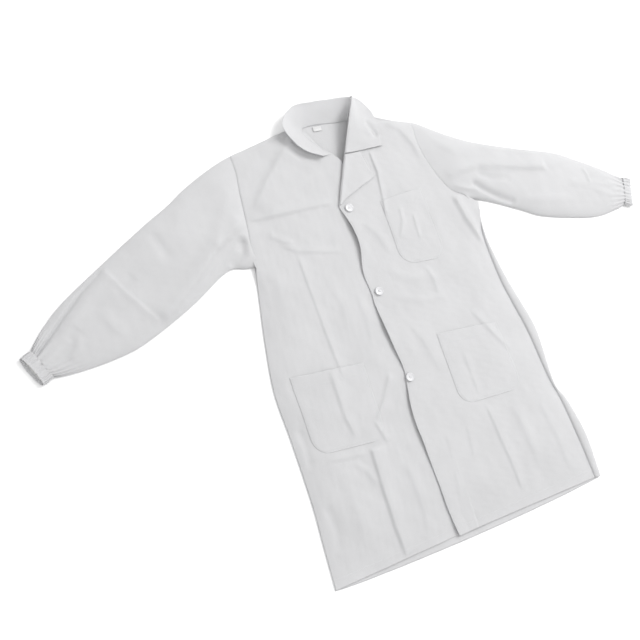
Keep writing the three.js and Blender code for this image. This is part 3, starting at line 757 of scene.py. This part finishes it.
def make_stand():
    columns, rows = 220, 40
    foot = curve_through(STAND_SEAM, columns)
    head = curve_through(STAND_TOP, columns)
    r = np.linspace(0, 1, rows)[:, None, None]
    grid = foot[None] * (1 - r) + head[None] * r
    lean = r[..., 0] * (1 - r[..., 0])
    grid[..., 2] += -9 * lean + undulation(grid[..., 0], grid[..., 1], 31, 50, 0.5) * lean * 4
    band = cloth_piece("collar_stand_cloth", grid, COTTON, thickness=1.2)
    ride(band, "shell", "collar_stand")
    seam = stitching("collar_stand_stitching", [grid[-3, 4:-60], grid[2, 10:150]], lift=0.2)
    ride(seam, "shell", slot="thread")
    x = np.linspace(-51, -29, 12)[None, :] + np.zeros((10, 1))
    y = np.linspace(979, 991, 10)[:, None] + np.zeros((1, 12))
    z = 2.4 + 0.8 * np.sin((x + 51) / 22 * math.pi) + 0.4 * np.sin(y)
    label = cloth_piece("neck_label_tape", np.dstack([x, y, z]), TAPE, thickness=0.3)
    ride(label, "shell", "neck_label", slot="label")


# ---------------------------------------------------------------- sleeves
SLEEVE_LENGTH = 534.0
SLEEVES = {
    "right": {
        "sign": -1, "cuff": 33.0, "drop": 23.7, "root": (-283, 825.5), "armhole": RIGHT_ARMHOLE,
        "chord": [(-297, 692), (-269, 958)], "front": right_front_height,
        "up": [(0.0, 134), (0.2, 110), (0.35, 103), (0.55, 91), (0.79, 74), (0.90, 58), (0.97, 42),
               (1.0, 32.5)],
        "down": [(0.0, 134), (0.14, 108), (0.22, 84), (0.40, 93), (0.54, 96), (0.69, 93), (0.80, 79),
                 (0.90, 60), (0.97, 43), (1.0, 32.5)],
        "folds": [
            ([(-606, 770), (-663, 732), (-717, 684), (-788, 620)], -6, 5, 3.4, 22),
            ([(-590, 760), (-650, 718), (-705, 668), (-772, 612)], 2.4, 14, 9, 30),
            ([(-280, 806), (-380, 744), (-407, 716), (-490, 648), (-530, 624)], 8, 5, 26, 26),
            ([(-298, 772), (-345, 733), (-385, 694), (-440, 655), (-505, 620)], -5, 12, 6, 30),
            ([(-303, 765), (-316, 730), (-352, 704)], -7, 11, 9, 12),
            ([(-292, 880), (-338, 810), (-374, 746)], 2.6, 4, 18, 20),
            ([(-613, 773), (-578, 703), (-527, 623)], 1.8, 4, 9, 20),
            ([(-500, 832), (-484, 790), (-470, 745)], -2.6, 12, 14, 24),
            ([(-550, 742), (-580, 722), (-606, 712)], -2.4, 12, 12, 18),
            ([(-688, 664), (-700, 652), (-714, 638)], -2, 9, 8, 10),
            ([(-420, 870), (-440, 800), (-430, 740)], 1.8, 26, 16, 40),
            ([(-640, 690), (-625, 650), (-600, 610)], 1.8, 16, 10, 26),
            ([(-690, 650), (-700, 622), (-720, 598)], 2, 10, 8, 14),
        ]},
    "left": {
        "sign": 1, "cuff": 37.5, "drop": 20.3, "root": (257, 835.5), "armhole": LEFT_ARMHOLE,
        "chord": [(307, 716), (207, 955)], "front": left_front_height,
        "up": [(0.0, 126), (0.08, 76), (0.2, 71), (0.4, 74), (0.6, 80), (0.74, 70), (0.87, 57), (0.95, 45),
               (1.0, 38)],
        "down": [(0.0, 126), (0.09, 94), (0.2, 84), (0.4, 95), (0.52, 103), (0.74, 92), (0.86, 77),
                 (0.95, 54), (1.0, 38)],
        "folds": [
            ([(236, 790), (283, 801), (336, 804), (401, 790), (540, 758)], 4.6, 24, 5, 22),
            ([(300, 772), (334, 742), (371, 714), (414, 690)], -7, 9, 8, 16),
            ([(246, 772), (285, 754), (322, 742)], 3, 6, 5, 14),
            ([(320, 792), (360, 768), (420, 752)], -2.6, 9, 7, 20),
            ([(646, 742), (652, 716), (650, 690)], 2.2, 4, 4, 10),
            ([(224, 930), (260, 880), (300, 842)], 2.6, 12, 10, 30),
            ([(420, 700), (500, 680), (600, 660)], 2, 14, 12, 50),
            ([(560, 720), (640, 690), (720, 640)], 2.2, 12, 9, 40),
            ([(350, 862), (460, 826), (560, 800)], 1.8, 8, 10, 50),
            ([(640, 700), (690, 682), (740, 668)], 1.8, 8, 5, 16),
        ]},
}
AROUND = 112
ALONG = 190


def sleeve_grid(sleeve):
    """Rings round a flattened sleeve, from the armhole seam to the cuff."""
    sign = sleeve["sign"]
    drop = math.radians(sleeve["drop"])
    along = np.array([sign * math.cos(drop), -math.sin(drop)])
    up = np.array([sign * math.sin(drop), math.cos(drop)])
    root = np.array(sleeve["root"], float)
    share = np.linspace(0, 1, ALONG)
    wide_up = curve_through(sleeve["up"], 400)
    wide_down = curve_through(sleeve["down"], 400)
    high = np.interp(share, wide_up[:, 0], wide_up[:, 1])[:, None]
    low = np.interp(share, wide_down[:, 0], wide_down[:, 1])[:, None]
    angle = np.linspace(0, 2 * math.pi, AROUND, endpoint=False)[None, :]
    across = np.sign(np.cos(angle)) * np.abs(np.cos(angle)) ** 0.85
    centre = root + along * (share * SLEEVE_LENGTH)[:, None]
    reach = np.where(across > 0, high, low) * across
    flat = centre[:, None, :] + up * reach[..., None]
    # the first rings change from the armhole seam to the tube
    seam = curve_through(sleeve["armhole"], 300)
    chord = curve_through(sleeve["chord"], 300)
    place = (across[0] + 1) / 2
    on_top = np.sin(angle[0]) >= 0
    seam_ring = np.stack([np.interp(place, np.linspace(0, 1, 300), seam[:, k]) for k in (0, 1)], axis=1)
    chord_ring = np.stack([np.interp(place, np.linspace(0, 1, 300), chord[:, k]) for k in (0, 1)], axis=1)
    ring = np.where(on_top[:, None], seam_ring, chord_ring)
    join = smooth(share / 0.17)[:, None, None]
    flat = ring[None] * (1 - join) + flat * join
    body = 19.5 * (1 - smooth((share - 0.62) / 0.38) * 0.36)[:, None]
    crown = (1 - np.abs(across) ** 3.4) ** 0.6
    top = 2.2 + (body - 2.2) * crown
    bottom = 2.2 - 1.4 * crown
    x, y = flat[..., 0], flat[..., 1]
    folds = folded(x, y, sleeve["folds"], 40 + sign)
    top = np.maximum(top + folds * np.clip(crown * 1.2, 0, 1), 3.0)
    at_seam = sleeve["front"](ring[:, 0], ring[:, 1]) - ARMHOLE_SINK + 0.1
    start = np.where(on_top, at_seam, 1.2)
    lift = smooth(share / 0.12)[:, None]
    z = np.where(on_top[None], top, bottom)
    z = start[None] * (1 - lift) + z * lift
    # gathers that run into the elastic
    gather = smooth((share - 0.86) / 0.14)[:, None]
    flutes = np.sin(angle * 21 + 1.6 * np.sin(angle * 3 + sign) + 0.7 * np.sin(share[:, None] * 9))
    z = z + gather * flutes * 1.5 * np.sign(np.sin(angle)) * (np.abs(np.sin(angle)) > 0.08)
    z = np.maximum(z, 0.8)
    return np.dstack([flat, z]), along, up


def make_sleeve(name, sleeve):
    grid, along, up = sleeve_grid(sleeve)
    sign = sleeve["sign"]
    arm = f"{name}_arm"
    cloth = cloth_piece(f"{name}_sleeve_cloth", grid, COTTON, wrapped=True, outward=sign > 0)
    chord = np.array(sleeve["chord"], float)
    line = (chord[1] - chord[0]) / np.linalg.norm(chord[1] - chord[0])
    outward = np.array([line[1], -line[0]]) * sign
    outward = outward if outward[0] * sign > 0 else -outward
    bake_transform(cloth)
    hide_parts(f"{name}_sleeve")

    # the seam allowance is topstitched on the sleeve side of the armhole
    half = AROUND // 2
    seam = stitching(f"{name}_armhole_stitching", [grid[3, 2:half - 1]], lift=0.15)
    ride(seam, "shell", slot="thread")

    # the casing: a band drawn up into flutes by the elastic inside it, its under layer reaching further
    wide = sleeve["cuff"]
    centre = np.array(sleeve["root"], float) + along * (SLEEVE_LENGTH - 2)

    def tube(angle, steps, half_width, half_height, flutes):
        across = half_width * np.sign(np.cos(angle)) * np.abs(np.cos(angle)) ** 0.85
        above = np.sign(np.sin(angle))
        reach = steps * 26 - 4.5 * np.sin(angle) * steps
        flat = centre + along * reach[..., None] + up * across[..., None]
        z = 7.0 + above * (half_height * np.abs(np.sin(angle)) ** 0.6 + flutes)
        return np.dstack([flat, np.maximum(z, 0.8)])

    steps = np.linspace(0, 1, 34)[:, None] + np.zeros((1, 220))
    angle = np.linspace(0, 2 * math.pi, 220, endpoint=False)[None, :] + 0 * steps
    flutes = np.sin(angle * 24 + 1.2 * np.sin(angle * 3)) * 0.8 + np.sin(angle * 37 + 2) * 0.4
    pinch = np.exp(-((steps - 0.12) / 0.06) ** 2) + np.exp(-((steps - 0.84) / 0.06) ** 2)
    swell = 1 + 0.03 * np.sin(np.pi * steps) - 0.02 * pinch
    casing = tube(angle, steps, (wide + 0.8) * swell, 6.2 * swell, flutes * (1 - 0.5 * pinch))
    cuff = cloth_piece(f"{name}_cuff_cloth", casing, COTTON, wrapped=True, outward=sign > 0, thickness=0.8)
    ride(cuff, arm, f"{name}_cuff")
    top_half = range(4, 106)
    rows = [casing[row, top_half] for row in (4, 28)]
    ride(stitching(f"{name}_cuff_stitching", rows, lift=0.1), arm, slot="thread")

    steps = np.linspace(0.22, 0.78, 10)[:, None] + np.zeros((1, 160))
    angle = np.linspace(0, 2 * math.pi, 160, endpoint=False)[None, :] + 0 * steps
    elastic = tube(angle, steps, wide - 3.4, 3.6, 0.25 * np.sin(angle * 60))
    band = cloth_piece(f"{name}_cuff_band", elastic, ELASTIC, wrapped=True, outward=sign > 0, thickness=0.6)
    ride(band, arm, f"{name}_cuff_elastic", slot="elastic")


# ---------------------------------------------------------------- buttons
def ring_of(radius, height, count):
    angle = np.linspace(0, 2 * math.pi, count, endpoint=False)
    return np.stack([radius * np.cos(angle), radius * np.sin(angle), np.full(count, height)], axis=1)


def make_button(name):
    """A four-hole button: a turned rim round a dished middle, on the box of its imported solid."""
    low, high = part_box(f"{name}_button")
    middle = Vector(((low[0] + high[0]) / 2, (low[1] + high[1]) / 2, low[2]))
    profile = [(0.01, 0.0), (7.6, 0.0), (9.2, 0.5), (9.9, 1.3), (10.0, 1.9), (9.7, 2.7), (9.1, 3.15),
               (8.4, 3.2), (7.7, 2.95), (7.2, 2.5), (6.6, 2.2), (5.0, 2.05), (0.01, 2.0)]
    count = 72
    rings = np.concatenate([ring_of(r, z, count) for r, z in profile])
    spots = np.arange(len(profile) * count).reshape(len(profile), count)
    right = np.roll(spots, -1, axis=1)
    faces = np.stack([spots[:-1], right[:-1], right[1:], spots[1:]], axis=-1).reshape(-1, 4).tolist()
    faces += [spots[0][::-1].tolist(), spots[-1].tolist()]
    disc = new_mesh(f"{name}_button_resin", rings * MM + np.array(middle), faces, RESIN)
    cutters = []
    for dx in (-1.6, 1.6):
        for dy in (-1.6, 1.6):
            bpy.ops.mesh.primitive_cylinder_add(vertices=24, radius=1.0 * MM, depth=20 * MM,
                                                location=middle + Vector((dx * MM, dy * MM, 0)))
            cutters.append(bpy.context.object)
    for cutter in cutters:
        drill = disc.modifiers.new("drill", "BOOLEAN")
        drill.operation = "DIFFERENCE"
        drill.object = cutter
    bevel = disc.modifiers.new("soft_rims", "BEVEL")
    bevel.width = 0.12 * MM
    bevel.segments = 2
    bevel.angle_limit = math.radians(50)
    bpy.context.view_layer.update()
    solid = bpy.data.meshes.new_from_object(disc.evaluated_get(bpy.context.evaluated_depsgraph_get()))
    disc.modifiers.clear()
    disc.data = solid
    solid.polygons.foreach_set("use_smooth", np.ones(len(solid.polygons), bool))
    for cutter in cutters:
        bpy.data.objects.remove(cutter)
    ride(disc, f"{name}_fastener", f"{name}_button", slot="button")

    # three strands in each of two stitches, and the wound shank below
    points, faces = [], []
    sides = 7

    def strand(path, radius):
        path = np.asarray(path, float)
        direction = np.gradient(path, axis=0)
        direction /= np.linalg.norm(direction, axis=1, keepdims=True)
        flank = np.cross(direction, np.array([0.31, 0.95, 0.05]))
        flank /= np.linalg.norm(flank, axis=1, keepdims=True)
        other = np.cross(direction, flank)
        faces.extend(moved_on(tube_faces(len(path), sides), len(points)))
        for place, f, o in zip(path, flank, other):
            for k in range(sides):
                a = 2 * math.pi * k / sides
                points.append(place + (f * math.cos(a) + o * math.sin(a)) * radius)

    for dy in (-1.6, 1.6):
        for offset in (-0.42, 0.0, 0.42):
            t = np.linspace(-1, 1, 17)
            arch = [(1.6 * s, dy + offset * (1 - 0.3 * abs(s)), 2.35 + 0.25 * (1 - s * s)) for s in t]
            path = [(-1.6, dy + offset * 0.7, -0.6), (-1.6, dy + offset * 0.7, 1.4)] + arch + [
                (1.6, dy + offset * 0.7, 1.4), (1.6, dy + offset * 0.7, -0.6)]
            strand(path, 0.25)
    turns = np.linspace(0, 6 * math.pi, 90)
    strand([(1.15 * math.cos(a), 1.15 * math.sin(a), -0.35 - 2.2 * a / (6 * math.pi)) for a in turns], 0.28)
    thread = new_mesh(f"{name}_button_sewing", np.array(points) * MM + np.array(middle), faces, THREAD)
    ride(thread, f"{name}_fastener", f"{name}_button_thread", slot="thread")


def make_buttonholes():
    """Close zigzag stitching round each buttonhole in the left front."""
    points, faces = [], []
    half, width = 11.5, 1.5
    for bx, by in BUTTONS.values():
        for step in np.linspace(-half, half, 60):
            for side in (-1, 1):
                xs = np.linspace(bx + step, bx + step + 0.12, 5)
                ys = np.linspace(by + side * 0.5, by + side * (0.5 + width), 5)
                z = left_front_height(xs, ys) + 0.15 + 0.2 * np.sin(np.linspace(0, math.pi, 5))
                faces += moved_on(tube_faces(5, 3), len(points))
                for x, y, h in zip(xs, ys, z):
                    points += [(x - 0.16, y, h - 0.1), (x + 0.16, y, h - 0.1), (x, y, h + 0.14)]
    holes = new_mesh("buttonhole_stitching", on_coat(np.array(points)), faces, THREAD)
    ride(holes, "shell", slot="thread")


# ---------------------------------------------------------------- topstitching on the shell
def over(points, height):
    """Points on the draft, raised to the height of the cloth there."""
    return np.column_stack([points, height(points[:, 0], points[:, 1])])


def make_topstitching():
    y = np.linspace(4, 778, 500)
    edge = across_at(OVER_LINE, y)
    hem_right = np.column_stack([np.linspace(-346, -62, 240), np.full(240, 18.0)])
    hem_left = np.column_stack([np.linspace(-52, 334, 320), np.full(320, 18.0)])
    side = curve_through(LEFT_SEAM, 400)[4:-4] + np.array([-4.0, 0])
    seams = {
        "front_edge_stitching": [over(np.column_stack([edge + 5, y]), left_front_height),
                                 over(hem_left, left_front_height), over(side, left_front_height)],
        "hem_stitching": [over(hem_right, right_front_height)],
        "back_hem_stitching": [back()[9, 4:-8]],
    }
    for name, rows in seams.items():
        ride(stitching(name, rows), "shell", slot="thread")


# ---------------------------------------------------------------- table, light and camera
def make_table():
    """A plain white sweep, matt painted board."""
    material, tree = blank_material("matt_white_board")
    place = place_on(tree)
    grain = add(tree, "ShaderNodeTexNoise", {"Scale": 3.0, "Detail": 2.0}, {"Vector": place})
    tone = two_tone(tree, grain, "fafafa", "fcfcfc")
    shader = add(tree, "ShaderNodeBsdfPrincipled", {"Roughness": 0.95, "Specular IOR Level": 0.1},
                 {"Base Color": tone})
    show(tree, shader)
    bpy.ops.mesh.primitive_plane_add(size=40, location=(0, 0, -0.0004))
    table = bpy.context.object
    table.name = "table"
    table.data.materials.append(material)


def soft_box(name, place, aim, size, power):
    """A large square soft box, its place and aim in metres from the middle of the coat."""
    lamp = bpy.data.lights.new(name, "AREA")
    lamp.size = size
    lamp.energy = power
    box = bpy.data.objects.new(name, lamp)
    bpy.context.collection.objects.link(box)
    box.location = place
    box.rotation_euler = (Vector(aim) - Vector(place)).to_track_quat("-Z", "Y").to_euler()


def make_light():
    """A white room, with the main soft box beyond the left sleeve."""
    world = bpy.data.worlds.new("studio")
    bpy.context.scene.world = world
    world.use_nodes = True
    background = world.node_tree.nodes["Background"]
    background.inputs[0].default_value = (1.0, 1.0, 1.0, 1.0)
    background.inputs[1].default_value = 0.9
    soft_box("main_soft_box", (3.2, 1.5, 3.6), (0.1, 0.1, 0), 2.2, 165)
    bpy.context.scene.view_settings.view_transform = "Standard"


CAMERA_EYE = (-785, 325, 1519)
CAMERA_AIM = (-191, 544, 0)
CAMERA_UP = (0.259, 0.937, 0.236)


def make_camera():
    """Looks down from beyond the right hip, with the coat's length running down to the right."""
    data = bpy.data.cameras.new("camera")
    data.sensor_width = 36
    data.lens = 41.7
    camera = bpy.data.objects.new("camera", data)
    bpy.context.collection.objects.link(camera)
    eye = Vector(on_coat(CAMERA_EYE))
    back_axis = (eye - Vector(on_coat(CAMERA_AIM))).normalized()
    across = Vector(CAMERA_UP).cross(back_axis).normalized()
    upright = back_axis.cross(across)
    camera.matrix_world = Matrix.Translation(eye) @ Matrix((across, upright, back_axis)).transposed().to_4x4()
    bpy.context.scene.camera = camera


make_camera()
make_shell()
make_facings()
make_pockets()
make_lapel()
make_collar_leaf()
make_stand()
for side_name, side_sleeve in SLEEVES.items():
    make_sleeve(side_name, side_sleeve)
for button_name in BUTTONS:
    make_button(button_name)
make_buttonholes()
make_topstitching()
make_table()
make_light()
